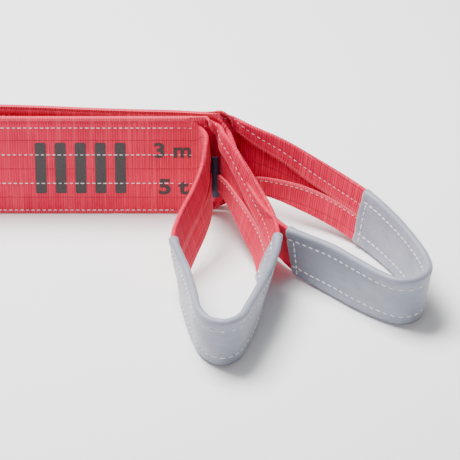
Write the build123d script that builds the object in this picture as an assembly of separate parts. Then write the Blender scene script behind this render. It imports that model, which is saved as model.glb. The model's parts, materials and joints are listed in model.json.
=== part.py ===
"""A duplex flat web sling with two covered soft eyes.

The sling is folded once, so that both of its eyes lie at the same end. It stands on the
edge of its webbing: the width of the web is height, and every path is drawn in plan.
Millimetres, +Z up. The origin is the middle of the footprint, on the surface below.
"""
import os
from math import cos, hypot, radians, sin

from build123d import *

# ---- driving dimensions -------------------------------------------------------------
web_width = 150.0            # width of the webbing, which stands upright
ply = 3.2                    # thickness of one layer of webbing
working_length = 3000.0      # from the bearing point of one eye to that of the other
eye_length = 380.0           # from the hinge line at an eye's root to its tip
leg_spread = 0.82            # how far the legs of an eye part, for each millimetre along it
folded_width = 75.0          # height of the web where it is folded in for a hook
sleeve_wall = 1.5            # thickness of the wear sleeve's coated fabric
sleeve_reach = 225.0         # how far the sleeve goes back from the tip of the eye
sleeve_clearance = 0.2       # between the web and the sleeve around it
run_gap = 5.0                # air between the front run and the rear run
rear_bow = 15.0              # how much further the rear run stands off along the body
bow_start = 70.0             # how far from the front run's end that starts
bow_full = 330.0             # and how far from it the runs are side by side again
fold_bulge = 19.0            # how far each run swings out where the sling is folded
fold_start = 95.0            # how far from the fold that starts
fold_full = 45.0             # and how far from the fold it is complete
fold_bend = 18.0             # bend of the body at the fold itself
body_bend = 60.0             # every other bend of the body, in plan
fold_slack = 0.1             # the fold's hinge line lies this far outside the webbing
joint_gap = 3.0              # air between the end of a run and the root of its eye
root_radius = 7.0            # the gathered root of an eye, round its hinge line
thread = 0.5                 # how far a row of stitches stands proud
thread_width = 1.6           # width of a row of stitches
row_stop = 11.0              # the rows of stitches end this far short of the fold
label_height = 64.0          # the identification label, sewn into the crotch of the front eye
label_width = 17.0
label_wall = 1.0
label_lift = 38.0            # height of the label's lower edge
label_gap = 3.0              # between the label and the middle of the eye
front_heading = -86.5        # which way the front eye points, in degrees
rear_heading = -49.0         # which way the rear eye points, in degrees
rear_lead = 0.168            # how much further the rear run reaches, as a share of an eye's legs

# ---- sizes that follow from them ----------------------------------------------------
run_thickness = 2 * ply
run_length = (working_length - 2 * eye_length) / 2
rear_offset = run_thickness + run_gap
fold_middle = (run_thickness + rear_offset + rear_bow) / 2
row_heights = [web_width * share for share in (0.035, 0.32, 0.62, 0.90)]
band = 2 * ply               # the folded web of an eye is two layers thick
cover = band + 2 * (sleeve_clearance + sleeve_wall)
band_bottom = sleeve_wall + sleeve_clearance
sleeve_height = folded_width + 2 * band_bottom
front_hinge = (root_radius + 1, -root_radius - 1)
belly = eye_length - sleeve_reach            # where the sleeve stops and the legs begin
eye_width = leg_spread * belly               # widest opening of an eye, from web to web
rear_run_extra = rear_lead * belly           # keeps the legs of the two eyes apart
rear_hinge = (rear_run_extra + joint_gap + root_radius, rear_offset + ply)
fold_hinge = (-run_length - ply - fold_slack, fold_middle)


# ---- helpers ------------------------------------------------------------------------
def directions(points):
    """Unit vectors along each stretch of a path in plan."""
    pairs = zip(points, points[1:])
    return [((b[0] - a[0]) / hypot(b[0] - a[0], b[1] - a[1]),
             (b[1] - a[1]) / hypot(b[0] - a[0], b[1] - a[1])) for a, b in pairs]


def shifted(points, radii, offset):
    """The path moved sideways to its left, with concentric bends."""
    ways = directions(points)
    moved = [(points[0][0] - ways[0][1] * offset, points[0][1] + ways[0][0] * offset)]
    bends = []
    for (x, y), before, after, radius in zip(points[1:-1], ways, ways[1:], radii):
        mid = (-(before[1] + after[1]), before[0] + after[0])
        size = 2 * offset / (mid[0] ** 2 + mid[1] ** 2)
        moved.append((x + mid[0] * size, y + mid[1] * size))
        turn = before[0] * after[1] - before[1] * after[0]
        bends.append(radius - offset if turn > 0 else radius + offset)
    moved.append((points[-1][0] - ways[-1][1] * offset, points[-1][1] + ways[-1][0] * offset))
    return moved, bends


def rail(points, radii):
    """A path in plan as one line, its corners rounded."""
    if len(points) == 2:
        return Polyline(*points)
    return FilletPolyline(*points, radius=radii)


def strip(points, radii, right, left, bottom, top):
    """A wall of webbing between two sideways offsets of a path and two heights."""
    one, one_bends = shifted(points, radii, right)
    two, two_bends = shifted(points, radii, left)
    edges = rail(one, one_bends).edges() + rail(two, two_bends).edges()
    edges += [Edge.make_line((*one[0], 0), (*two[0], 0)), Edge.make_line((*one[-1], 0), (*two[-1], 0))]
    face = Face(Wire.combine(edges)[0])
    if face.normal_at().Z < 0:
        face = -face
    return Pos(0, 0, bottom) * extrude(face, top - bottom, dir=(0, 0, 1))


def placed(points, hinge, heading):
    """Points given as (along, across) an eye, put in plan at its hinge line."""
    c, s = cos(radians(heading)), sin(radians(heading))
    return [(hinge[0] + u * c - v * s, hinge[1] + u * s + v * c) for u, v in points]


def prism(outline, hinge, heading):
    """A solid with the given (along, height) outline, wide enough to cut a whole eye."""
    plane = Plane(origin=(*hinge, 0), x_dir=(cos(radians(heading)), sin(radians(heading)), 0),
                  z_dir=(sin(radians(heading)), -cos(radians(heading)), 0))
    return extrude(plane * make_face(Polyline(*outline, close=True)), 2 * eye_width, both=True)


# ---- an eye, drawn once and used at both ends -----------------------------------------
gather = 12.0                                # the web keeps its full height this far
half_way = 0.45 * belly                      # where a leg is folded about half as far as it goes
half_way_bottom = 0.22 * web_width
half_way_top = 0.80 * web_width
past_root = 60.0                             # any length that clears the root behind the hinge
inner_side = -0.36 * eye_width               # the leg towards the body
outer_side = 0.64 * eye_width                # the leg away from it
tip_half = 0.17 * eye_width
tip_radius = 1.02 * tip_half
leg_bend = 4.0                               # where a leg meets the sleeve
outer_root = (-4.0, 19.0)                    # where the outer leg turns forwards
outer_root_bend = 9.0
inner_belly = (belly, inner_side)
outer_belly = (belly, outer_side)
loop_corners = [(eye_length, -tip_half), (eye_length, tip_half * 1.15)]
loop_start = 0.02                            # share of the sleeve's length left to the leg
seam_heights = [sleeve_height * share for share in (0.17, 0.83)]


def between(a, b, share):
    """A point on the line from a to b."""
    return (a[0] + (b[0] - a[0]) * share, a[1] + (b[1] - a[1]) * share)


sleeve_inner_end = between(inner_belly, loop_corners[0], loop_start)
sleeve_outer_end = between(outer_belly, loop_corners[1], loop_start)


def make_eye(name, hinge, heading):
    """The legs, folded web, sleeve and seams of one soft eye."""
    root = Pos(*hinge, 0) * Cylinder(root_radius, web_width, align=(Align.CENTER, Align.CENTER, Align.MIN))
    inner_leg = placed([(0, 0), inner_belly, sleeve_inner_end], hinge, heading)
    outer_leg = placed([(0, 0), outer_root, outer_belly, sleeve_outer_end], hinge, heading)
    loop = placed([sleeve_inner_end, *loop_corners, sleeve_outer_end], hinge, heading)
    band_top = band_bottom + folded_width
    leg_outline = [(-past_root, 0), (gather, 0), (half_way, half_way_bottom), (belly, band_bottom),
                   (eye_length, band_bottom), (eye_length, band_top), (belly, band_top),
                   (half_way, half_way_top), (gather, web_width), (-past_root, web_width)]
    shape = prism(leg_outline, hinge, heading)
    half = band / 2
    legs = {
        "inner_leg": strip(inner_leg, [leg_bend], -half, half, 0, web_width),
        "outer_leg": strip(outer_leg, [outer_root_bend, leg_bend], -half, half, 0, web_width),
    }
    made = {f"{name}_root": root}
    for leg, solid in legs.items():
        made[f"{name}_{leg}"] = (solid & shape) - root
    tips = [tip_radius, tip_radius]
    made[f"{name}_web_loop"] = strip(loop, tips, -half, half, band_bottom, band_top)
    outside = cover / 2
    inside = half + sleeve_clearance
    made[f"{name}_sleeve"] = strip(loop, tips, -outside, outside, 0, sleeve_height) - strip(
        loop, tips, -inside, inside, sleeve_wall, sleeve_height - sleeve_wall)
    seams = []
    for height in seam_heights:
        for side in (-outside - thread, outside):
            seams.append(strip(loop, tips, side, side + thread, height - thread_width / 2,
                               height + thread_width / 2))
    made[f"{name}_sleeve_seams"] = Compound(children=seams)
    return made


# ---- the two runs of the sling, each of two plies, with half of the fold ----------------
def make_run(name, way_in, outward):
    """Two plies sewn together. way_in is the path up to the fold; outward is its far side's Y."""
    side_y = way_in[-1][1]
    swing = side_y + outward * fold_bulge
    path = [*way_in, (fold_start - run_length, side_y), (fold_full - run_length, swing),
            (-run_length, swing), (-run_length, fold_middle)]
    bends = [body_bend] * (len(path) - 3) + [fold_bend]
    sides = {"inner_ply": (-ply, 0.0), "outer_ply": (0.0, ply)}
    made = {}
    for layer, (right, left) in sides.items():
        if outward > 0:
            right, left = -left, -right
        made[f"{name}_{layer}"] = strip(path, bends, right, left, 0, web_width)
    sewn = path[:-1] + [(-run_length, fold_middle + outward * row_stop)]
    rows = []
    for height in row_heights:
        for side in (-ply - thread, ply):
            rows.append(strip(sewn, bends, side, side + thread, height - thread_width / 2,
                              height + thread_width / 2))
    made[f"{name}_stitch_rows"] = Compound(children=rows)
    return made


parts = {}
rear_y = rear_offset + ply
rear_way = [(rear_run_extra, rear_y), (-bow_start, rear_y), (-bow_full, rear_y + rear_bow)]
parts.update(make_run("front_run", [(0.0, ply)], -1))
parts.update(make_run("rear_run", rear_way, 1))
parts.update(make_eye("front_eye", front_hinge, front_heading))
parts.update(make_eye("rear_eye", rear_hinge, rear_heading))

label_reach = 1.7 * root_radius
label_line = [(label_reach, label_gap), (label_reach, label_gap + label_width)]
label_plan = placed(label_line, front_hinge, front_heading)
parts["identification_label"] = strip(label_plan, [], 0, label_wall, label_lift, label_lift + label_height)

boxes = [solid.bounding_box() for solid in parts.values()]
low = [min(getattr(box.min, axis) for box in boxes) for axis in "XYZ"]
high = [max(getattr(box.max, axis) for box in boxes) for axis in "XYZ"]
middle_x = (low[0] + high[0]) / 2
middle_y = (low[1] + high[1]) / 2
home = Location((-middle_x, -middle_y, 0))

os.makedirs("parts", exist_ok=True)
for node, solid in parts.items():
    moved = solid.moved(home)
    moved.label = node
    export_step(moved, f"parts/{node}.step")
for label, hinge in (("front_eye", front_hinge), ("rear_eye", rear_hinge), ("fold", fold_hinge)):
    print(f"{label} hinge at x {hinge[0] - middle_x:.3f}, y {hinge[1] - middle_y:.3f}")
print(f"origin lies at x {middle_x:.3f}, y {middle_y:.3f} in the drawing")
print("overall", *(round(b - a, 1) for a, b in zip(low, high)))
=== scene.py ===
# %% [markdown]
# # A flat web sling with two covered eyes
# The sling is one long strap of red webbing, laid double and sewn into a flat body. At each end
# the strap runs on as a loop, folded to half its width and covered by a grey wear sleeve. The
# CAD frame gives the places and the joints. Blender makes the cloth.

# %% Load the frame
import json
from math import cos, pi, radians, sin

import bmesh
import bpy
import numpy as np
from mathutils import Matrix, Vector


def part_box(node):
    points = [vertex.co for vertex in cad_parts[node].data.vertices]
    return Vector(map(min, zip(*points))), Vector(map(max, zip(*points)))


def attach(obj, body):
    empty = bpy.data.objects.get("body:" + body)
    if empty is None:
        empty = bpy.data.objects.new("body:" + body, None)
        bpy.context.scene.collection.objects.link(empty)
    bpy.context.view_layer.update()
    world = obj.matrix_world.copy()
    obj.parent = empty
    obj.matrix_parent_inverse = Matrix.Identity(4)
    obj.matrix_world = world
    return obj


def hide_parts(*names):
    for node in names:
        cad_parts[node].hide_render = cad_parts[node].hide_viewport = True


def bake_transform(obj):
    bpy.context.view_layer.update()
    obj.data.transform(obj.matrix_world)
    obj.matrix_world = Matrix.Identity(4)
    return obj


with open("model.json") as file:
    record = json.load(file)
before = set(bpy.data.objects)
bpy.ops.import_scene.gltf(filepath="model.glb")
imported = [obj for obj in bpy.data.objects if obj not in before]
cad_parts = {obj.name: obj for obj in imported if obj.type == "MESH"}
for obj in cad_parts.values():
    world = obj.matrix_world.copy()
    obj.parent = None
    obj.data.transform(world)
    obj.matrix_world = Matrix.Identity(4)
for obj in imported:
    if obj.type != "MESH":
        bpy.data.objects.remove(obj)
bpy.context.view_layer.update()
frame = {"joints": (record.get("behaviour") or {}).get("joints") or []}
joints = {joint["name"]: joint for joint in frame["joints"]}

# %% [markdown]
# ## Sizes
# Everything hangs on the three hinge lines of the frame. The other sizes are those of the
# webbing and its sleeve, in metres.

# %% Sizes of the sling
MM = 0.001
web_width = 150 * MM
ply = 3.2 * MM
cloth_thickness = 3.0 * MM        # a touch under a ply, so that two plies don't share a face
fold_radius = 1.75 * MM           # where the web is folded in
front_hinge = np.array(joints["front_eye_swing"]["pos_m"])
rear_hinge = np.array(joints["rear_eye_swing"]["pos_m"])
fold_hinge = np.array(joints["fold_opening"]["pos_m"])
front_heading = radians(-86.5)
rear_heading = radians(-49.0)
face_y = front_hinge[1] + 8 * MM  # the broad front face of the body
rear_y = rear_hinge[1]            # the middle of the rear run
fold_y = fold_hinge[1]
fold_x = fold_hinge[0] + ply
cut_x = fold_x + 135 * MM         # where the run's web stops and the folded end's begins
fold_bow = 15 * MM                # how much further apart the two runs are at the fold
print("front face at y", round(face_y, 4), "fold at x", round(fold_x, 4))

# %% [markdown]
# ## The line that the web follows
# Seen from above, the strap is a line. Each station on it says where the middle of the web is,
# how high, how much of each edge is folded in, and how far the top leans outwards. A smooth
# curve through a few stations gives all the rest.

# %% Smooth stations
def smooth(stations, spacing):
    """A centripetal Catmull-Rom curve through the stations, resampled by length in plan."""
    rows = np.array(stations, float)
    rows = np.vstack([2 * rows[0] - rows[1], rows, 2 * rows[-1] - rows[-2]])
    gaps = np.sqrt(np.maximum(np.linalg.norm(np.diff(rows[:, :2], axis=0), axis=1), 1e-6))
    knots = np.concatenate([[0], np.cumsum(gaps)])
    out = []
    for i in range(1, len(rows) - 2):
        t0, t1, t2, t3 = knots[i - 1:i + 3]
        p0, p1, p2, p3 = rows[i - 1:i + 3]
        t = np.linspace(t1, t2, 60, endpoint=False)[:, None]
        a1 = (t1 - t) / (t1 - t0) * p0 + (t - t0) / (t1 - t0) * p1
        a2 = (t2 - t) / (t2 - t1) * p1 + (t - t1) / (t2 - t1) * p2
        a3 = (t3 - t) / (t3 - t2) * p2 + (t - t2) / (t3 - t2) * p3
        b1 = (t2 - t) / (t2 - t0) * a1 + (t - t0) / (t2 - t0) * a2
        b2 = (t3 - t) / (t3 - t1) * a2 + (t - t1) / (t3 - t1) * a3
        out.append((t2 - t) / (t2 - t1) * b1 + (t - t1) / (t2 - t1) * b2)
    fine = np.vstack(out + [rows[-2:-1]])
    length = np.concatenate([[0], np.cumsum(np.linalg.norm(np.diff(fine[:, :2], axis=0), axis=1))])
    straight = fine[:, 3] <= flat_fold + 1e-6
    density = 1 / np.where(straight, spacing * 2.2, spacing)
    count = np.concatenate([[0], np.cumsum(np.diff(length) * (density[1:] + density[:-1]) / 2)])
    wanted = np.linspace(0, count[-1], int(count[-1]) + 2)
    at = np.interp(wanted, count, length)
    return at, np.column_stack([np.interp(at, length, column) for column in fine.T])


flat_fold = 4 * MM                # the least that an edge strip may be, so the grid stays even
middle_height = web_width / 2
half_fold = web_width / 4

# %% [markdown]
# ## The shape of an eye
# Both eyes are sewn alike. Each station tells the way along the eye, across it, the height of
# the middle, how much is folded in, and the lean. The legs leave the body alike too, but the rear
# loop has sprung a little wider than the front one.

# %% Stations of the eyes, in millimetres and degrees
front_eye_stations = [
    (6, 1, 88, 30, 2), (26, 0, 86, 32.5, 4), (56, -3, 78, 35.5, 8), (92, -15, 66, 37.5, 12),
    (131, -33, 52, 37.5, 14), (170, -46, 42.4, 37.5, 12), (205, -45, 40.2, 37.5, 5),
    (250, -39.5, 40, 37.5, 0), (302, -33, 40, 37.5, 1), (343, -26, 40, 37.5, 6),
    (364, -13, 40, 37.5, 9), (370, 3, 40, 37.5, 9), (360, 19, 40, 37.5, 9), (332, 33, 40, 37.5, 7),
    (282, 51, 40, 37.5, 9), (224, 66, 40, 37.5, 15), (174, 73, 41.6, 37.5, 20),
    (130, 68, 51, 37.5, 20), (92, 54, 65, 36.5, 17), (62, 41, 79, 34, 11), (34, 29, 90, 31, 6),
    (12, 20, 93, 28, 3),
]
rear_eye_stations = [
    (6, -3, 80, 26, 2), (24, -8, 78, 30, 4), (55, -20, 71, 33, 9), (90, -33, 62, 37.5, 12),
    (135, -45, 51, 37.5, 13), (182, -49, 42.4, 37.5, 11), (216, -45, 40.2, 37.5, 5),
    (256, -40, 40, 37.5, 0), (302, -38, 40, 37.5, 1), (342, -34, 40, 37.5, 5),
    (367, -27, 40, 37.5, 8), (378, -14, 40, 37.5, 9), (379, 1, 40, 37.5, 9),
    (372, 16, 40, 37.5, 9), (350, 33, 40, 37.5, 7), (304, 53, 40, 37.5, 6),
    (244, 70, 40, 37.5, 10), (188, 78, 41.6, 37.5, 15), (138, 73, 49, 37.5, 18),
    (92, 58, 61, 35, 17), (60, 45, 70, 31, 11), (32, 32, 75, 27, 6), (12, 23, 76, 22, 3),
]


def eye_in_plan(eye_stations, hinge, heading):
    """The stations of one eye, put at its hinge line, in metres and radians."""
    c, s = cos(heading), sin(heading)
    rows = []
    for u, v, height, fold, lean in eye_stations:
        x = hinge[0] + (u * c - v * s) * MM
        y = hinge[1] + (u * s + v * c) * MM
        rows.append((x, y, height * MM, fold * MM, radians(lean)))
    return rows


def flat(x, y):
    """A station on a flat run of the body."""
    return (x, y, middle_height, flat_fold, 0.0)


# %% Stations of the two webs
rear_bow = [(32, 1), (70, 5), (130, 8), (190, 12), (260, 18), (330, 21), (430, 22), (600, 20),
            (780, 17)]
no_bow = [(30, 0), (60, 0), (160, 0), (260, 0), (400, 0), (560, 0), (760, 0)]


def run_path(end_x, ply_y, bow, bow_at_fold):
    """Along one ply of a run from the cut near the fold to its eye, standing off by its bow."""
    line = [flat(end_x - back * MM, ply_y + away * MM) for back, away in bow]
    return [flat(cut_x, ply_y + bow_at_fold)] + line[::-1]


def turning(x, y, fold, height=75):
    """A station near a hinge, where the web starts to fold in."""
    return (x, y, height * MM, fold * MM, 0.0)


hinge_x = front_hinge[0]
front_way_in = [turning(hinge_x - 17 * MM, face_y + ply / 2, 9),
                turning(hinge_x - 7 * MM, face_y + 0.2 * MM, 19, 80)]
front_way_out = [turning(hinge_x + 19 * MM, face_y - 3 * MM, 23, 88),
                 turning(hinge_x + 10 * MM, face_y + 4 * MM, 13, 80),
                 flat(hinge_x - 6 * MM, face_y + 4.8 * MM)]
front_stations = (run_path(hinge_x, face_y + ply / 2, no_bow, 0) + front_way_in
                  + eye_in_plan(front_eye_stations, front_hinge, front_heading) + front_way_out
                  + run_path(hinge_x, face_y + 1.5 * ply, no_bow, 0)[::-1])
hinge_x = rear_hinge[0]
rear_way_in = [turning(hinge_x - 12 * MM, rear_y - 2 * MM, 8)]
rear_way_out = [turning(hinge_x + 8 * MM, rear_y + 18 * MM, 16),
                turning(hinge_x - 4 * MM, rear_y + 11 * MM, 9),
                flat(hinge_x - 18 * MM, rear_y + 4 * MM)]
rear_stations = (run_path(hinge_x, rear_y - ply / 2, rear_bow, fold_bow) + rear_way_in
                 + eye_in_plan(rear_eye_stations, rear_hinge, rear_heading) + rear_way_out
                 + run_path(hinge_x, rear_y + ply / 2, rear_bow, fold_bow)[::-1])

# %% [markdown]
# ## Across the web
# Cut across, the web is a flat line with both edge strips folded inwards. The section is worked
# out from the width of the strip and from how far it has turned over. Points along it carry
# their true distance from the middle of the web, which later places stitches and weave.

# %% One section of folded web
strip_points, turn_points, middle_points = 9, 7, 22


def section(fold):
    """(distance across the web, height, depth) of the points of one section."""
    share = np.clip((fold - flat_fold) / (12 * MM), 0, 1)
    pressed_flat = np.clip((fold / half_fold - 0.8) / 0.2, 0, 1)
    turn = share * share * (3 - 2 * share) * radians(176 + 3.6 * pressed_flat)
    edge = web_width / 2 - fold
    before = edge - fold_radius * turn / 2
    after = edge + fold_radius * turn / 2
    across = np.concatenate([
        np.linspace(0, before, middle_points // 2, endpoint=False),
        np.linspace(before, after, turn_points, endpoint=False),
        np.linspace(after, web_width / 2, strip_points)])
    angle = np.clip((across - before) / fold_radius, 0, turn) if turn > 0 else across * 0
    beyond = np.maximum(across - after, 0)
    height = np.minimum(across, before) + fold_radius * np.sin(angle) + beyond * cos(turn)
    depth = -fold_radius * (1 - np.cos(angle)) - beyond * sin(turn)
    if turn == 0:
        height = across
    depth = depth + fold_radius * (turn / pi)
    mirrored = slice(None, 0, -1)
    return (np.concatenate([-across[mirrored], across]), np.concatenate([-height[mirrored], height]),
            np.concatenate([depth[mirrored], depth]))


# %% [markdown]
# ## From stations to cloth
# A grid of points is laid along the line and across the web. Its normals then push it out to
# both sides by half the thickness, and the rim is closed, which makes one solid strap. The UV
# map holds metres along and across the strap, so that the weave follows every fold.

# %% The grid of a web
def plan_frames(rows):
    """Unit directions along the line and outwards from it, in plan."""
    way = np.gradient(rows[:, :2], axis=0)
    way /= np.linalg.norm(way, axis=1)[:, None]
    return way, np.column_stack([way[:, 1], -way[:, 0]])


def lay(rows, height, depth):
    """Points of sections that lean, set upright on the line. All inputs are one row a station."""
    _, out = plan_frames(rows)
    lean = rows[:, 4:5]
    outward = depth * np.cos(lean) + height * np.sin(lean)
    up = rows[:, 2:3] + height * np.cos(lean) - depth * np.sin(lean)
    x = rows[:, :1] + out[:, :1] * outward
    y = rows[:, 1:2] + out[:, 1:] * outward
    return np.stack([x, y, up], axis=2)


def grid_normals(points, closed=False):
    """Unit normals of a grid, pointing outwards from the line."""
    along = np.gradient(points, axis=0)
    if closed:
        sideways = np.roll(points, -1, axis=1) - np.roll(points, 1, axis=1)
    else:
        sideways = np.gradient(points, axis=1)
    normal = np.cross(along, sideways)
    return normal / np.maximum(np.linalg.norm(normal, axis=2), 1e-12)[:, :, None]


def make_web(stations, spacing):
    """The grid of a web: its points, normals, length along and distance across."""
    length, rows = smooth(stations, spacing)
    sections = [section(fold) for fold in rows[:, 3]]
    across, height, depth = (np.array([s[i] for s in sections]) for i in range(3))
    points = lay(rows, height, depth)
    return {"points": points, "normals": grid_normals(points), "length": length,
            "across": across, "rows": rows}


# %% A solid strap from a grid
def new_mesh(name, vertices, faces, uv, smooth_faces=True):
    """A mesh object at the origin, with a UV map given vertex by vertex."""
    mesh = bpy.data.meshes.new(name)
    mesh.from_pydata(vertices, [], faces)
    layer = mesh.uv_layers.new(name="cloth")
    loops = np.empty(len(mesh.loops), int)
    mesh.loops.foreach_get("vertex_index", loops)
    layer.data.foreach_set("uv", np.asarray(uv, np.float32)[loops].ravel())
    mesh.polygons.foreach_set("use_smooth", [smooth_faces] * len(mesh.polygons))
    piece = bpy.data.objects.new(name, mesh)
    bpy.context.scene.collection.objects.link(piece)
    return piece


def strap(name, web, thickness, first=0, last=None):
    """Both faces and the rim of a web, as one closed solid."""
    part = slice(first, last)
    points, normals = web["points"][part], web["normals"][part]
    n, m = points.shape[:2]
    faces_of_cloth = [points + normals * side * thickness / 2 for side in (1, -1)]
    vertices = np.concatenate([face.reshape(-1, 3) for face in faces_of_cloth])
    length = np.broadcast_to(web["length"][part][:, None], (n, m))
    uv = np.stack([length, web["across"][part]], axis=2)
    uv = np.concatenate([uv.reshape(-1, 2)] * 2)
    i, j = np.meshgrid(np.arange(n - 1), np.arange(m - 1), indexing="ij")
    a = (i * m + j).ravel()
    top = np.column_stack([a, a + m, a + m + 1, a + 1])
    bottom = top[:, ::-1] + n * m
    rim = []
    ring = ([(k, 0) for k in range(n)] + [(n - 1, k) for k in range(1, m)]
            + [(k, m - 1) for k in range(n - 2, -1, -1)] + [(0, k) for k in range(m - 2, 0, -1)])
    for (p, q), (r, s) in zip(ring, ring[1:] + ring[:1]):
        rim.append((r * m + s, p * m + q, p * m + q + n * m, r * m + s + n * m))
    return new_mesh(name, vertices.tolist(), top.tolist() + bottom.tolist() + rim, uv)


front_web = make_web(front_stations, 3.4 * MM)
rear_web = make_web(rear_stations, 3.4 * MM)
front_strap = strap("front_web", front_web, cloth_thickness)
rear_strap = strap("rear_web", rear_web, cloth_thickness)
print("front web", front_web["points"].shape, "length", round(front_web["length"][-1], 3))

# %% [markdown]
# ## The folded end of the body
# At the far end both plies turn back on themselves in one loose bend. Each ply is a strap of
# its own there, because it joins the front run to the rear run.

# %% The two plies of the bend
def bend_stations(offset):
    """Stations round the folded end, moved outwards from the middle of the two plies."""
    half = [(135, 0.0), (118, 0.0), (100, -1.0), (82, -6.0), (62, -13.5), (40, -18.0),
            (20, -18.5), (5, -13.0)]
    near = [(fold_x + x * MM, face_y + ply + y * MM) for x, y in half]
    centre = near + [(fold_x - 0.5 * MM, fold_y)]
    centre += [(x, 2 * fold_y - y) for x, y in near[::-1]]
    line = np.array(centre[::-1])
    way = np.gradient(line, axis=0)
    way /= np.linalg.norm(way, axis=1)[:, None]
    line = line + np.column_stack([way[:, 1], -way[:, 0]]) * offset
    return [flat(x, y) for x, y in line]


fold_webs = {}
fold_straps = {}
for layer, offset in (("fold_outer_ply", ply / 2), ("fold_inner_ply", -ply / 2)):
    fold_webs[layer] = make_web(bend_stations(offset), 2.0 * MM)
    fold_straps[layer] = strap(layer, fold_webs[layer], cloth_thickness)
    print(layer, "length", round(fold_webs[layer]["length"][-1], 3))

# %% [markdown]
# ## The wear sleeves
# A sleeve is a tube of coated fabric sewn flat round the folded web. It is crowned between its
# two rows of stitches and drawn in along them, with small puckers from the thread, and it ends
# in a turned hem. The tube follows the same line as the web inside it.

# %% One sleeve
sleeve_wall = 1.1 * MM
sleeve_half_height = 38.9 * MM
sleeve_edge = 4.6 * MM            # radius of its two folded edges
row_distance = 23 * MM            # of a row of stitches from the middle of the sleeve


def sleeve_depth(height, along, side, seed):
    """Half the thickness of the tube, drawn in along the rows of stitches."""
    rowed = np.exp(-((np.abs(height) - row_distance) / (3.2 * MM)) ** 2)
    crown = 1 - (height / sleeve_half_height) ** 2
    pucker = np.sin(along / (10.7 * MM) * 2 * pi + seed) * np.exp(
        -((np.abs(height) - row_distance) / (7 * MM)) ** 2)
    slack = np.sin(along / (61 * MM) + side * 1.7 + seed) * np.cos(height / (17 * MM) + along / (83 * MM))
    return (5.3 + 0.6 * crown - 1.1 * rowed + 0.2 * pucker + 0.45 * slack * (0.35 + crown)) * MM


def tube_section(count=22, caps=7):
    """(height, depth share) round a flat tube with round edges, anticlockwise."""
    edge = sleeve_edge
    side = np.linspace(-1, 1, count) * (sleeve_half_height - edge)
    turn = np.linspace(0, pi, caps + 2)[1:-1]
    outer = np.column_stack([side, np.ones(count), np.zeros(count)])
    top = np.column_stack([side[-1] + edge * np.sin(turn), np.cos(turn), np.ones(caps)])
    inner = np.column_stack([side[::-1], -np.ones(count), np.zeros(count)])
    low = np.column_stack([side[0] - edge * np.sin(turn), -np.cos(turn), np.ones(caps)])
    return np.vstack([outer, top, inner, low])


def make_sleeve(name, web, first, last, seed):
    """A closed tube with a wall, a hem at each end and the places of its rows of stitches."""
    rows = web["rows"][first:last]
    along = web["length"][first:last] - web["length"][first]
    total = along[-1]
    shape = tube_section()
    height = np.broadcast_to(shape[:, 0], (len(rows), len(shape)))
    side = np.sign(shape[:, 1])[None, :]
    depth = sleeve_depth(height, along[:, None], side, seed) * shape[:, 1]
    hem = np.exp(-(np.minimum(along, total - along) / (9 * MM)) ** 6)[:, None]
    depth = depth * (1 + 0.2 * hem)
    outer = lay(rows, height * (1 + 0.004 * hem), depth)
    normals = grid_normals(outer, closed=True)
    inner = outer - normals * (sleeve_wall + 0.5 * MM * hem[:, :, None])
    n, m = outer.shape[:2]
    steps = np.hypot(np.diff(shape[:, 0]), np.diff(shape[:, 1]) * sleeve_edge)
    girth = np.concatenate([[0], np.cumsum(steps)])
    uv = np.stack([np.broadcast_to(along[:, None], (n, m)), np.broadcast_to(girth, (n, m))], axis=2)
    uv = uv.reshape(-1, 2)
    faces = []
    for i in range(n - 1):
        for j in range(m):
            k = (j + 1) % m
            a, b, c, d = i * m + j, (i + 1) * m + j, (i + 1) * m + k, i * m + k
            faces.append((a, b, c, d))
            faces.append((d + n * m, c + n * m, b + n * m, a + n * m))
    for j in range(m):
        k = (j + 1) % m
        faces.append((j, k, k + n * m, j + n * m))
        a, b = (n - 1) * m + j, (n - 1) * m + k
        faces.append((b, a, a + n * m, b + n * m))
    vertices = np.concatenate([outer.reshape(-1, 3), inner.reshape(-1, 3)])
    piece = new_mesh(name, vertices.tolist(), faces, np.concatenate([uv, uv]))
    web_like = {"points": outer, "normals": normals, "length": along, "shape": shape}
    return piece, web_like, total


def sleeve_span(web):
    """The first and last station under the sleeve: the web is fully folded and low enough there."""
    folded = web["rows"][:, 3] >= half_fold - 0.05 * MM
    lowered = web["rows"][:, 2] < 42.1 * MM
    covered = np.nonzero(folded & lowered)[0]
    return covered[0], covered[-1] + 1


sleeves = {}
for name, web, seed in (("front", front_web, 0.4), ("rear", rear_web, 2.1)):
    first, last = sleeve_span(web)
    sleeves[name] = make_sleeve(f"{name}_sleeve", web, first, last, seed)
    print(name, "sleeve length", round(sleeves[name][2], 3))

# %% [markdown]
# ## Stitches
# Every row of stitches is the same small thread bump repeated at an even pitch. Geometry Nodes
# put one on each point of a guide. The guide holds the way along the row and the way out of
# the cloth as attributes, which turn each stitch. Length and width vary a little.

# %% A single stitch and the node tree that repeats it
def stitch_shape():
    """A low bead, one metre long, wide and high, with its length along X."""
    vertices, faces = [], []
    around, steps = 7, 5
    for i in range(1, steps):
        angle = pi * i / steps
        for j in range(around):
            turn = 2 * pi * j / around
            radius = sin(angle) ** 0.6 / 2
            vertices.append((-cos(angle) / 2, radius * cos(turn), radius * sin(turn)))
    ends = (len(vertices), len(vertices) + 1)
    vertices += [(-0.5, 0, 0), (0.5, 0, 0)]
    for i in range(steps - 2):
        for j in range(around):
            k = (j + 1) % around
            a, b = i * around, (i + 1) * around
            faces.append((a + j, a + k, b + k, b + j))
    for j in range(around):
        k = (j + 1) % around
        faces.append((ends[0], k, j))
        faces.append((ends[1], (steps - 2) * around + j, (steps - 2) * around + k))
    mesh = bpy.data.meshes.new("stitch")
    mesh.from_pydata(vertices, [], faces)
    mesh.polygons.foreach_set("use_smooth", [True] * len(mesh.polygons))
    return bpy.data.objects.new("stitch", mesh)


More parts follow.
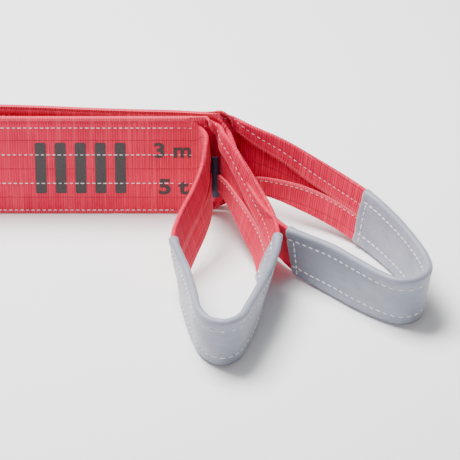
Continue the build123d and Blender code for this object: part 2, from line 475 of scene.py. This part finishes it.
def stitch_tree(shape):
    """Stitches on every point of a guide, turned by its two attributes."""
    tree = bpy.data.node_groups.new("row_of_stitches", "GeometryNodeTree")
    add = tree.interface.new_socket
    add("Geometry", in_out="INPUT", socket_type="NodeSocketGeometry")
    for label, default in (("Stitch length", 5 * MM), ("Thread width", 1.5 * MM),
                           ("Thread height", 1.0 * MM)):
        add(label, in_out="INPUT", socket_type="NodeSocketFloat").default_value = default
    add("Thread", in_out="INPUT", socket_type="NodeSocketMaterial")
    add("Geometry", in_out="OUTPUT", socket_type="NodeSocketGeometry")
    nodes, link = tree.nodes, tree.links.new
    given = nodes.new("NodeGroupInput")
    along = nodes.new("GeometryNodeInputNamedAttribute")
    out = nodes.new("GeometryNodeInputNamedAttribute")
    for node, name in ((along, "along"), (out, "out")):
        node.data_type = "FLOAT_VECTOR"
        node.inputs["Name"].default_value = name
    turn = nodes.new("FunctionNodeAxesToRotation")
    turn.primary_axis, turn.secondary_axis = "X", "Z"
    link(along.outputs["Attribute"], turn.inputs["Primary Axis"])
    link(out.outputs["Attribute"], turn.inputs["Secondary Axis"])
    vary = nodes.new("FunctionNodeRandomValue")
    vary.data_type = "FLOAT_VECTOR"
    vary.inputs["Min"].default_value = (0.78, 0.88, 0.9)
    vary.inputs["Max"].default_value = (1.08, 1.1, 1.1)
    vary.inputs["Seed"].default_value = 7
    size = nodes.new("ShaderNodeCombineXYZ")
    link(given.outputs["Stitch length"], size.inputs["X"])
    link(given.outputs["Thread width"], size.inputs["Y"])
    link(given.outputs["Thread height"], size.inputs["Z"])
    scaled = nodes.new("ShaderNodeVectorMath")
    scaled.operation = "MULTIPLY"
    link(size.outputs[0], scaled.inputs[0])
    link(vary.outputs["Value"], scaled.inputs[1])
    bead = nodes.new("GeometryNodeObjectInfo")
    bead.inputs["Object"].default_value = shape
    place = nodes.new("GeometryNodeInstanceOnPoints")
    link(given.outputs["Geometry"], place.inputs["Points"])
    link(bead.outputs["Geometry"], place.inputs["Instance"])
    link(turn.outputs["Rotation"], place.inputs["Rotation"])
    link(scaled.outputs[0], place.inputs["Scale"])
    real = nodes.new("GeometryNodeRealizeInstances")
    link(place.outputs["Instances"], real.inputs["Geometry"])
    paint = nodes.new("GeometryNodeSetMaterial")
    link(real.outputs["Geometry"], paint.inputs["Geometry"])
    link(given.outputs["Thread"], paint.inputs["Material"])
    result = nodes.new("NodeGroupOutput")
    link(paint.outputs["Geometry"], result.inputs["Geometry"])
    return tree


stitch = stitch_shape()
row_tree = stitch_tree(stitch)

# %% Guides for rows of stitches
def web_row(web, across, side, pitch, start, stop, lift):
    """Stitch places on a web at a distance across it, between two lengths along it."""
    n = len(web["length"])
    column = np.empty((n, 3))
    normal = np.empty((n, 3))
    for i in range(n):
        for k in range(3):
            column[i, k] = np.interp(across, web["across"][i], web["points"][i, :, k])
            normal[i, k] = np.interp(across, web["across"][i], web["normals"][i, :, k])
    return spaced(column + normal * side * lift, normal * side, web["length"], pitch, start, stop)


def spaced(line, normal, length, pitch, start, stop):
    """Places, ways along and ways out at an even pitch on a line."""
    at = np.arange(start + pitch / 2, stop, pitch)
    way = np.gradient(line, axis=0)
    place = np.column_stack([np.interp(at, length, line[:, k]) for k in range(3)])
    along = np.column_stack([np.interp(at, length, way[:, k]) for k in range(3)])
    out = np.column_stack([np.interp(at, length, normal[:, k]) for k in range(3)])
    along /= np.linalg.norm(along, axis=1)[:, None]
    out /= np.linalg.norm(out, axis=1)[:, None]
    return place, along, out


def sew(name, rows, length, width, height, thread):
    """Runs the node tree over the guide points of several rows and keeps the plain mesh."""
    place, along, out = (np.concatenate([row[i] for row in rows]) for i in range(3))
    guide_mesh = bpy.data.meshes.new(f"{name}_guide")
    guide_mesh.from_pydata(place.tolist(), [], [])
    for label, values in (("along", along), ("out", out)):
        guide_mesh.attributes.new(label, "FLOAT_VECTOR", "POINT").data.foreach_set(
            "vector", values.astype(np.float32).ravel())
    guide = bpy.data.objects.new(f"{name}_guide", guide_mesh)
    bpy.context.scene.collection.objects.link(guide)
    modifier = guide.modifiers.new("stitches", "NODES")
    modifier.node_group = row_tree
    wanted = {"Stitch length": length, "Thread width": width, "Thread height": height,
              "Thread": thread}
    for item in row_tree.interface.items_tree:
        if item.in_out == "INPUT" and item.name in wanted:
            modifier[item.identifier] = wanted[item.name]
    graph = bpy.context.evaluated_depsgraph_get()
    mesh = bpy.data.meshes.new_from_object(guide.evaluated_get(graph))
    mesh.name = name
    bpy.data.objects.remove(guide)
    piece = bpy.data.objects.new(name, mesh)
    bpy.context.scene.collection.objects.link(piece)
    print(name, len(place), "stitches")
    return piece


# %% [markdown]
# ## Shader maths
# A small class wraps a socket, so that a pattern can be written as a sum. Colours are mixed by
# Mix nodes, because a Math node would turn them grey.

# %% Sockets with operators
class Value:
    """One output of a node, with the operators that a pattern needs."""

    def __init__(self, tree, socket):
        self.tree, self.socket = tree, socket

    def node(self, kind, settings=None, **inputs):
        """A new node of a kind, its settings first and then its sockets."""
        made = self.tree.nodes.new(kind)
        for key, value in (settings or {}).items():
            setattr(made, key, value)
        for key, value in inputs.items():
            name = int(key[1:]) if key[0] == "i" and key[1:].isdigit() else key.replace("_", " ")
            if isinstance(value, Value):
                self.tree.links.new(value.socket, made.inputs[name])
            else:
                made.inputs[name].default_value = value
        return made

    def math(self, operation, *others):
        made = self.node("ShaderNodeMath", {"operation": operation}, i0=self)
        for index, other in enumerate(others, 1):
            if isinstance(other, Value):
                self.tree.links.new(other.socket, made.inputs[index])
            else:
                made.inputs[index].default_value = other
        return Value(self.tree, made.outputs[0])

    def __add__(self, other):
        return self.math("ADD", other)

    def __sub__(self, other):
        return self.math("SUBTRACT", other)

    def __rsub__(self, other):
        return (self * -1) + other

    def __mul__(self, other):
        return self.math("MULTIPLY", other)

    __radd__, __rmul__ = __add__, __mul__

    def sine(self):
        return self.math("SINE")

    def bell(self, centre, width):
        """One at the centre, falling to nothing a width away."""
        near = (self - centre).math("ABSOLUTE") * (1 / width)
        return (1 - near).math("MAXIMUM", 0.0)

    def ramp(self, low, high):
        """Nothing at low and one at high."""
        made = self.node("ShaderNodeMapRange", {"clamp": True}, Value=self, From_Min=low,
                         From_Max=high)
        return Value(self.tree, made.outputs[0])

    def mix(self, low, high):
        """A colour between two, by this factor."""
        made = self.node("ShaderNodeMix", {"data_type": "RGBA"}, Factor=self)
        for socket, colour in ((made.inputs[6], low), (made.inputs[7], high)):
            if isinstance(colour, Value):
                self.tree.links.new(colour.socket, socket)
            else:
                socket.default_value = (*colour, 1)
        return Value(self.tree, made.outputs[2])


# %% The parts that every finish shares
def start_finish(name, **fixed):
    """A material with its Principled shader, and fixed values set on its own sockets."""
    material = bpy.data.materials.new(name)
    material.use_nodes = True
    shader = material.node_tree.nodes["Principled BSDF"]
    for key, value in fixed.items():
        shader.inputs[key.replace("_", " ")].default_value = value
    seed = Value(material.node_tree, None)
    return material, shader, seed


def cloth_axes(seed):
    """Metres along and across the cloth."""
    uv = seed.node("ShaderNodeUVMap", {"uv_map": "cloth"})
    parts = seed.node("ShaderNodeSeparateXYZ", None, Vector=Value(seed.tree, uv.outputs[0]))
    return Value(seed.tree, parts.outputs[0]), Value(seed.tree, parts.outputs[1])


def noise(seed, x, y, detail=2.0):
    """Noise over two values."""
    point = seed.node("ShaderNodeCombineXYZ", None, X=x, Y=y)
    made = seed.node("ShaderNodeTexNoise", {"noise_dimensions": "2D"}, Scale=1.0, Detail=detail,
                     Vector=Value(seed.tree, point.outputs[0]))
    return Value(seed.tree, made.outputs[0])


def finish_with(seed, shader, colour, roughness, relief, depth):
    """Joins a pattern to the shader: colour, roughness and a bump of a depth in metres."""
    seed.tree.links.new(colour.socket, shader.inputs["Base Color"])
    seed.tree.links.new(roughness.socket, shader.inputs["Roughness"])
    bump = seed.node("ShaderNodeBump", None, Height=relief, Distance=depth, Strength=1.0)
    seed.tree.links.new(bump.outputs[0], shader.inputs["Normal"])


# %% [markdown]
# ## Red webbing
# Heavy polyester webbing shows ribs across its width where the warp passes over the weft. Some
# ribs catch more light than others, which gives pale streaks. Thin dark lines run along it, and
# the cloth is drawn in along each row of stitches. Both edges carry a painted highlight.

# %% Webbing finish
rib_pitch = 3.3 * MM
woven_lines = (-49 * MM, -4 * MM, 41 * MM)
body_rows = [(share - 0.5) * web_width for share in (0.035, 0.32, 0.62, 0.90)]


def make_webbing():
    material, shader, seed = start_finish(
        "red webbing", Sheen_Weight=0.14, Sheen_Roughness=0.4, Sheen_Tint=(1.0, 0.3, 0.4, 1),
        Specular_IOR_Level=0.2)
    along, across = cloth_axes(seed)
    wobble = noise(seed, along * 60.0, across * 40.0) * 0.9
    rib = ((along * (2 * pi / rib_pitch) + wobble).sine() + 1) * 0.5
    warp = ((across * (2 * pi / (1.5 * MM)) + wobble).sine() + 1) * 0.5
    streak = noise(seed, along * 330.0, across * 7.0, 1.0).ramp(0.52, 0.78)
    patch = noise(seed, along * 22.0, across * 30.0).ramp(0.3, 0.75)
    line = across.bell(woven_lines[0], 0.9 * MM)
    for place in woven_lines[1:]:
        line = line + across.bell(place, 0.9 * MM)
    # mask of both edges of the web, for the painted highlight on the edge rolls
    edge_highlight = across.math("ABSOLUTE").ramp(web_width / 2 - 5 * MM, web_width / 2 - 4 * MM)
    sewn = across.bell(body_rows[0], 5 * MM)
    for place in body_rows[1:]:
        sewn = sewn + across.bell(place, 5 * MM)
    base = patch.mix((0.46, 0.001, 0.033), (0.62, 0.002, 0.048))
    base = (rib * 0.62).mix(base, (0.84, 0.008, 0.068))
    base = (streak * 0.42).mix(base, (0.95, 0.060, 0.115))
    base = (line * 0.65).mix(base, (0.15, 0.003, 0.015))
    # painted highlight: paler pink between the ribs near both edges
    base = ((1 - rib) * edge_highlight * 0.5).mix(base, (0.97, 0.16, 0.21))
    rough = 0.62 - streak * 0.12
    relief = rib * 0.5 + warp * 0.16 + streak * 0.2 - line * 0.6 - sewn * 0.7
    finish_with(seed, shader, base, rough, relief, 0.7 * MM)
    return material


red_webbing = make_webbing()

# %% [markdown]
# ## Grey coated fabric
# The sleeve is smooth coated cloth. It needs a fine weave, soft creases and a little mottling,
# or it would look like plastic pipe. The crease pattern also paints a highlight on the ridges.

# %% Sleeve finish
def make_coated():
    material, shader, seed = start_finish(
        "grey coated fabric", Sheen_Weight=0.2, Sheen_Roughness=0.5, Specular_IOR_Level=0.5)
    along, across = cloth_axes(seed)
    weave = (along * (2 * pi / (0.9 * MM))).sine() * (across * (2 * pi / (0.9 * MM))).sine()
    crease_and_highlight = noise(seed, along * 34.0, across * 55.0, 3.0)
    mottle = noise(seed, along * 14.0, across * 20.0, 2.0).ramp(0.3, 0.7)
    base = mottle.mix((0.215, 0.227, 0.29), (0.265, 0.277, 0.345))
    # paler where the crease noise is high: painted highlight on the crease ridges, which also bump
    base = (crease_and_highlight.ramp(0.35, 0.8) * 0.25).mix(base, (0.36, 0.37, 0.44))
    rough = 0.5 - crease_and_highlight * 0.14
    finish_with(seed, shader, base, rough, weave * 0.05 + crease_and_highlight * 2.2, 0.9 * MM)
    return material


grey_sleeve = make_coated()

# %% [markdown]
# ## Thread, ink and label cloth
# These are small, so each reads its pattern from the object's own coordinates.

# %% Small finishes
def object_axes(seed):
    place = seed.node("ShaderNodeTexCoord")
    parts = seed.node("ShaderNodeSeparateXYZ", None, Vector=Value(seed.tree, place.outputs["Object"]))
    return [Value(seed.tree, parts.outputs[k]) for k in range(3)]


def make_small(name, dark, pale, roughness, scale, depth, **fixed):
    """A finish with a fine grain between two colours."""
    material, shader, seed = start_finish(name, **fixed)
    x, y, z = object_axes(seed)
    grain = noise(seed, (x + y) * scale, (z + y * 0.7) * scale, 2.0)
    twist = (((x + y) * 2.0 + z) * (2 * pi / (1.1 * MM))).sine() * 0.5 + 0.5
    base = grain.ramp(0.3, 0.7).mix(dark, pale)
    rough = grain * 0.2 + (roughness - 0.1)
    finish_with(seed, shader, base, rough, twist * 0.6 + grain * 0.4, depth)
    return material


white_thread = make_small("white thread", (0.78, 0.74, 0.75), (0.93, 0.91, 0.91), 0.6, 900.0,
                          0.2 * MM, Sheen_Weight=0.2)
# a pinkish thread of lower contrast, for the rows along the legs of the eyes
pinkish_thread = make_small("worn thread", (0.66, 0.30, 0.33), (0.88, 0.62, 0.64), 0.7, 900.0,
                         0.2 * MM, Sheen_Weight=0.2)
black_ink = make_small("black ink", (0.012, 0.010, 0.011), (0.045, 0.028, 0.03), 0.6, 500.0,
                       0.1 * MM)
# near-black navy: the label's own blue with the painted shade of the crotch mixed in
label_cloth_and_shade = make_small("blue label cloth", (0.006, 0.007, 0.03), (0.013, 0.016, 0.06), 0.55,
                         700.0, 0.15 * MM)
for web in (front_strap, rear_strap, *fold_straps.values()):
    web.data.materials.append(red_webbing)
for sleeve, _, _ in sleeves.values():
    sleeve.data.materials.append(grey_sleeve)

# %% [markdown]
# ## Sew the rows
# Four rows join the plies of each run, and show on both of its faces. They run on along one leg
# of each eye. Two rows close each sleeve, and a row across each of its ends holds the hem. Both
# show inside and outside the loop.

# %% Rows on the body
body_pitch, body_stitch, body_thread, body_bead = 7.6 * MM, 5.4 * MM, 1.5 * MM, 1.0 * MM
leg_stitch, leg_thread, leg_bead = 4.8 * MM, 1.2 * MM, 0.8 * MM
surface = cloth_thickness / 2
run_margin = 14 * MM              # the body rows stop this far short of where the web folds in


def web_span(web):
    """Lengths along the web where the eye begins and ends, a little inside the flat runs."""
    folded = np.nonzero(web["rows"][:, 3] > flat_fold + 0.3 * MM)[0]
    return web["length"][folded[0]], web["length"][folded[-1]]


seams = {}
for name, web in (("front", front_web), ("rear", rear_web)):
    begin, finish = web_span(web)
    total = web["length"][-1]
    rows = []
    for across in body_rows:
        rows.append(web_row(web, across, 1, body_pitch, 0, begin - run_margin, surface))
        rows.append(web_row(web, across, 1, body_pitch, finish + run_margin, total, surface))
    piece = f"{name}_body_stitches"
    seams[piece] = sew(piece, rows, body_stitch, body_thread, body_bead, white_thread)
    first, last = sleeve_span(web)
    rows = []
    leg_end = web["length"][last - 1]
    for across in body_rows:
        rows.append(web_row(web, across, 1, body_pitch, leg_end, finish + run_margin, surface))
        rows.append(web_row(web, across, 1, body_pitch, begin - run_margin, begin + 6 * MM, surface))
        if abs(across) > half_fold:
            rows.append(web_row(web, across, -1, body_pitch, leg_end, finish + run_margin, surface))
    piece = f"{name}_leg_stitches"
    seams[piece] = sew(piece, rows, leg_stitch, leg_thread, leg_bead, pinkish_thread)

# %% Rows round the fold
rows = []
for layer, side in (("fold_outer_ply", 1), ("fold_inner_ply", -1)):
    web = fold_webs[layer]
    for across in body_rows:
        rows.append(web_row(web, across, side, body_pitch, 0, web["length"][-1], surface))
seams["fold_stitches"] = sew("fold_stitches", rows, body_stitch, body_thread, body_bead,
                             white_thread)

# %% Rows on the sleeves
sleeve_pitch, sleeve_stitch = 10.7 * MM, 8.2 * MM
sleeve_thread, sleeve_bead = 2.3 * MM, 1.9 * MM
hem_depth, hem_pitch = 9 * MM, 9.5 * MM
hem_length = 2 * row_distance + 8 * MM
for name, (_, tube, total) in sleeves.items():
    rows = []
    shape = tube["shape"]
    for outside in (1, -1):
        chosen = np.nonzero(np.abs(shape[:, 1] - outside) < 1e-9)[0]
        order = chosen[np.argsort(shape[chosen, 0])]
        for distance in (-row_distance, row_distance):
            line = np.empty((len(tube["length"]), 3))
            normal = np.empty_like(line)
            for k in range(3):
                for i in range(len(line)):
                    line[i, k] = np.interp(distance, shape[order, 0], tube["points"][i, order, k])
                    normal[i, k] = np.interp(distance, shape[order, 0], tube["normals"][i, order, k])
            rows.append(spaced(line, normal, tube["length"], sleeve_pitch, 0, total))
        for end in (hem_depth, total - hem_depth):
            i = int(np.argmin(np.abs(tube["length"] - end)))
            rows.append(spaced(tube["points"][i, order], tube["normals"][i, order],
                               shape[order, 0] - shape[order[0], 0], hem_pitch, 0, hem_length))
    piece = f"{name}_sleeve_stitches"
    seams[piece] = sew(piece, rows, sleeve_stitch, sleeve_thread, sleeve_bead, white_thread)

# %% [markdown]
# ## Printed marks and the label
# The length and the load class are printed on the body in plain bold figures. A row of five
# bars, one for each tonne, fills the rest of the print. The label is a small tag of blue cloth in
# the crotch of the front eye, coloured near-black: its own blue darkened with painted shade.

# %% Ink on the front face
ink_thickness = 0.16 * MM
ink_y = face_y + ply / 2 - cloth_thickness / 2
boldness = 0.035                  # how far the outline of a letter is moved out, for a size of 1
seal_gap = 0.03 * MM              # points of a letter that are closer than this become one


def upright_text(name, words, left, bottom, height, wide):
    """Flat bold words on the front face, as a mesh of thin ink."""
    curve = bpy.data.curves.new(name, "FONT")
    curve.body = words
    curve.size = 1.0
    curve.offset = boldness
    curve.extrude = 0.5
    source = bpy.data.objects.new(name, curve)
    bpy.context.scene.collection.objects.link(source)
    bpy.context.view_layer.update()
    graph = bpy.context.evaluated_depsgraph_get()
    mesh = bpy.data.meshes.new_from_object(source.evaluated_get(graph))
    bpy.data.objects.remove(source)
    points = np.array([v.co for v in mesh.vertices])
    low, high = points.min(0), points.max(0)
    flat_points = (points - low) / (high - low)
    placed = np.column_stack([left + flat_points[:, 0] * wide,
                              ink_y - flat_points[:, 2] * ink_thickness,
                              bottom + flat_points[:, 1] * height])
    mesh.vertices.foreach_set("co", placed.ravel())
    sealed = bmesh.new()
    sealed.from_mesh(mesh)
    bmesh.ops.remove_doubles(sealed, verts=sealed.verts[:], dist=seal_gap)
    sealed.to_mesh(mesh)
    sealed.free()
    mesh.name = name
    piece = bpy.data.objects.new(name, mesh)
    bpy.context.scene.collection.objects.link(piece)
    return piece


def rounded_bar(name, boxes, corner):
    """Upright ink bars with round corners: (left, right, bottom, top) of each."""
    vertices, faces = [], []
    for left, right, bottom, top in boxes:
        ring = []
        for cx, cz, turn in ((right - corner, top - corner, 0), (left + corner, top - corner, 1),
                             (left + corner, bottom + corner, 2), (right - corner, bottom + corner, 3)):
            for step in range(5):
                angle = (turn + step / 4) * pi / 2
                ring.append((cx + corner * cos(angle), cz + corner * sin(angle)))
        start = len(vertices)
        count = len(ring)
        vertices += [(x, ink_y - ink_thickness, z) for x, z in ring]
        vertices += [(x, ink_y, z) for x, z in ring]
        faces.append([start + k for k in range(count)])
        faces.append([start + count + k for k in range(count)][::-1])
        for k in range(count):
            n = (k + 1) % count
            faces.append((start + count + k, start + count + n, start + n, start + k))
    mesh = bpy.data.meshes.new(name)
    mesh.from_pydata(vertices, [], faces)
    piece = bpy.data.objects.new(name, mesh)
    bpy.context.scene.collection.objects.link(piece)
    return piece


marks_x = front_hinge[0]
length_mark = upright_text("length_mark", "3 m", marks_x - 71 * MM, 88 * MM, 24 * MM, 51 * MM)
load_mark = upright_text("load_mark", "5 t", marks_x - 65 * MM, 30 * MM, 25 * MM, 41 * MM)
bar_width, bar_step = 15 * MM, 27 * MM
bars_from = marks_x - 232 * MM
bars = [(bars_from + k * bar_step, bars_from + k * bar_step + bar_width, 32 * MM, 112 * MM)
        for k in range(5)]
tonne_bars = rounded_bar("tonne_bars", bars, 2.5 * MM)
for mark in (length_mark, load_mark, tonne_bars):
    mark.data.materials.clear()
    mark.data.materials.append(black_ink)

# %% The label
tag_thickness = 1.0 * MM


def make_label():
    """One small piece of cloth with a soft bow, a little narrower at the top."""
    low, high = (np.array(corner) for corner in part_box("identification_label"))
    heights = np.linspace(low[2], high[2], 15)
    widths = np.linspace(low[0] + 2 * MM, high[0] - 3 * MM, 9)
    middle_y = (low[1] + high[1]) / 2
    points = np.empty((len(heights), len(widths), 3))
    for i, z in enumerate(heights):
        pinch = 1 - 0.35 * (i / (len(heights) - 1)) ** 2
        for j, x in enumerate(widths):
            bow = sin(pi * j / (len(widths) - 1)) * 2.2 * MM + sin(i * 0.5) * 0.6 * MM
            points[i, j] = (widths.mean() + (x - widths.mean()) * pinch, middle_y - bow, z)
    across = np.broadcast_to(widths - widths.mean(), (len(heights), len(widths)))
    web = {"points": points, "normals": grid_normals(points), "length": heights - heights[0],
           "across": across}
    return strap("identification_tag", web, tag_thickness)


label = make_label()
label.data.materials.append(label_cloth_and_shade)

# %% [markdown]
# ## Hang the pieces on the frame
# Cloth that crosses a hinge line stays where it was made, and everything else rides.

# %% Ride and replace
def near(hinge, x, y):
    """A place a few millimetres from a hinge line."""
    return tuple(hinge + np.array([x, y, 0]) * MM)


for piece in (front_strap, seams["front_leg_stitches"]):
    near(front_hinge, -14, 11)
    near(front_hinge, 8, -14)
    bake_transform(piece)
for piece in (rear_strap, seams["rear_leg_stitches"]):
    near(rear_hinge, -20, 0)
    near(rear_hinge, 14, -6)
    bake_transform(piece)
for piece in (*fold_straps.values(), seams["fold_stitches"]):
    near(fold_hinge, 0, -9)
    near(fold_hinge, 0, 9)
    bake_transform(piece)
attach(seams["front_body_stitches"], "front_run")
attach(seams["rear_body_stitches"], "rear_run")
for mark in (length_mark, load_mark, tonne_bars):
    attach(mark, "front_run")
for name, (sleeve, _, _) in sleeves.items():
    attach(sleeve, f"{name}_eye")
    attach(seams[f"{name}_sleeve_stitches"], f"{name}_eye")
    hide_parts(f"{name}_eye_sleeve")
    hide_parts(f"{name}_eye_sleeve_seams")
    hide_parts(f"{name}_run_stitch_rows")
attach(label, "front_eye")
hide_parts("identification_label")
for name, web in (("front", front_strap), ("rear", rear_strap)):
    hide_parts(f"{name}_run_inner_ply", f"{name}_run_outer_ply", f"{name}_eye_root",
                f"{name}_eye_inner_leg", f"{name}_eye_outer_leg", f"{name}_eye_web_loop")

# %% [markdown]
# ## Floor, light and camera
# A pale floor, one broad lamp from above and behind, and a fill from the front give soft light
# with hardly any shadow. The camera looks along the Y axis from well above, through a long lens.

# %% Floor and light
def flat_finish(name, colour, roughness):
    material, shader, seed = start_finish(name, Specular_IOR_Level=0.1)
    x, y, _ = object_axes(seed)
    grain = noise(seed, x * 6.0, y * 6.0)
    base = (grain * 0.15).mix(colour, tuple(part * 0.985 for part in colour))
    seed.tree.links.new(base.socket, shader.inputs["Base Color"])
    shader.inputs["Roughness"].default_value = roughness
    return material


floor_half = 14.0
floor_z = -0.0008                 # just under the lowest stitches
corners = [(-floor_half, -floor_half), (floor_half, -floor_half), (floor_half, floor_half),
           (-floor_half, floor_half)]
floor_mesh = bpy.data.meshes.new("floor")
floor_mesh.from_pydata([(x, y, floor_z) for x, y in corners], [], [(0, 1, 2, 3)])
floor = bpy.data.objects.new("floor", floor_mesh)
floor.data.materials.append(flat_finish("pale floor", (0.97, 0.97, 0.97), 0.95))
bpy.context.scene.collection.objects.link(floor)

world = bpy.context.scene.world or bpy.data.worlds.new("studio")
bpy.context.scene.world = world
world.use_nodes = True
world.node_tree.nodes["Background"].inputs[0].default_value = (1, 1, 1, 1)
world.node_tree.nodes["Background"].inputs[1].default_value = 0.42


def lamp(name, place, aim, size, power):
    """A soft square lamp that points at a place."""
    data = bpy.data.lights.new(name, "AREA")
    data.size, data.energy = size, power
    made = bpy.data.objects.new(name, data)
    made.location = place
    made.rotation_euler = (Vector(aim) - Vector(place)).to_track_quat("-Z", "Y").to_euler()
    bpy.context.scene.collection.objects.link(made)


eyes_at = front_hinge + np.array([60, -120, -40]) * MM
lamp("key", eyes_at + np.array([-0.7, 0.5, 2.1]), eyes_at, 1.3, 165)
lamp("fill", eyes_at + np.array([-0.9, -1.9, 1.3]), eyes_at, 1.8, 4)

# %% Camera
elevation, distance = radians(32), 5.0
target = front_hinge + np.array([32, -35, -75]) * MM
camera_data = bpy.data.cameras.new("camera")
sensor = 36                       # millimetres
frame_width = 0.624
camera_data.sensor_width = sensor
camera_data.lens = sensor * distance / frame_width
camera_data.clip_end = 100
camera = bpy.data.objects.new("camera", camera_data)
camera.location = target + np.array([0, -cos(elevation), sin(elevation)]) * distance
camera.rotation_euler = (pi / 2 - elevation, 0, 0)
bpy.context.scene.collection.objects.link(camera)
bpy.context.scene.camera = camera
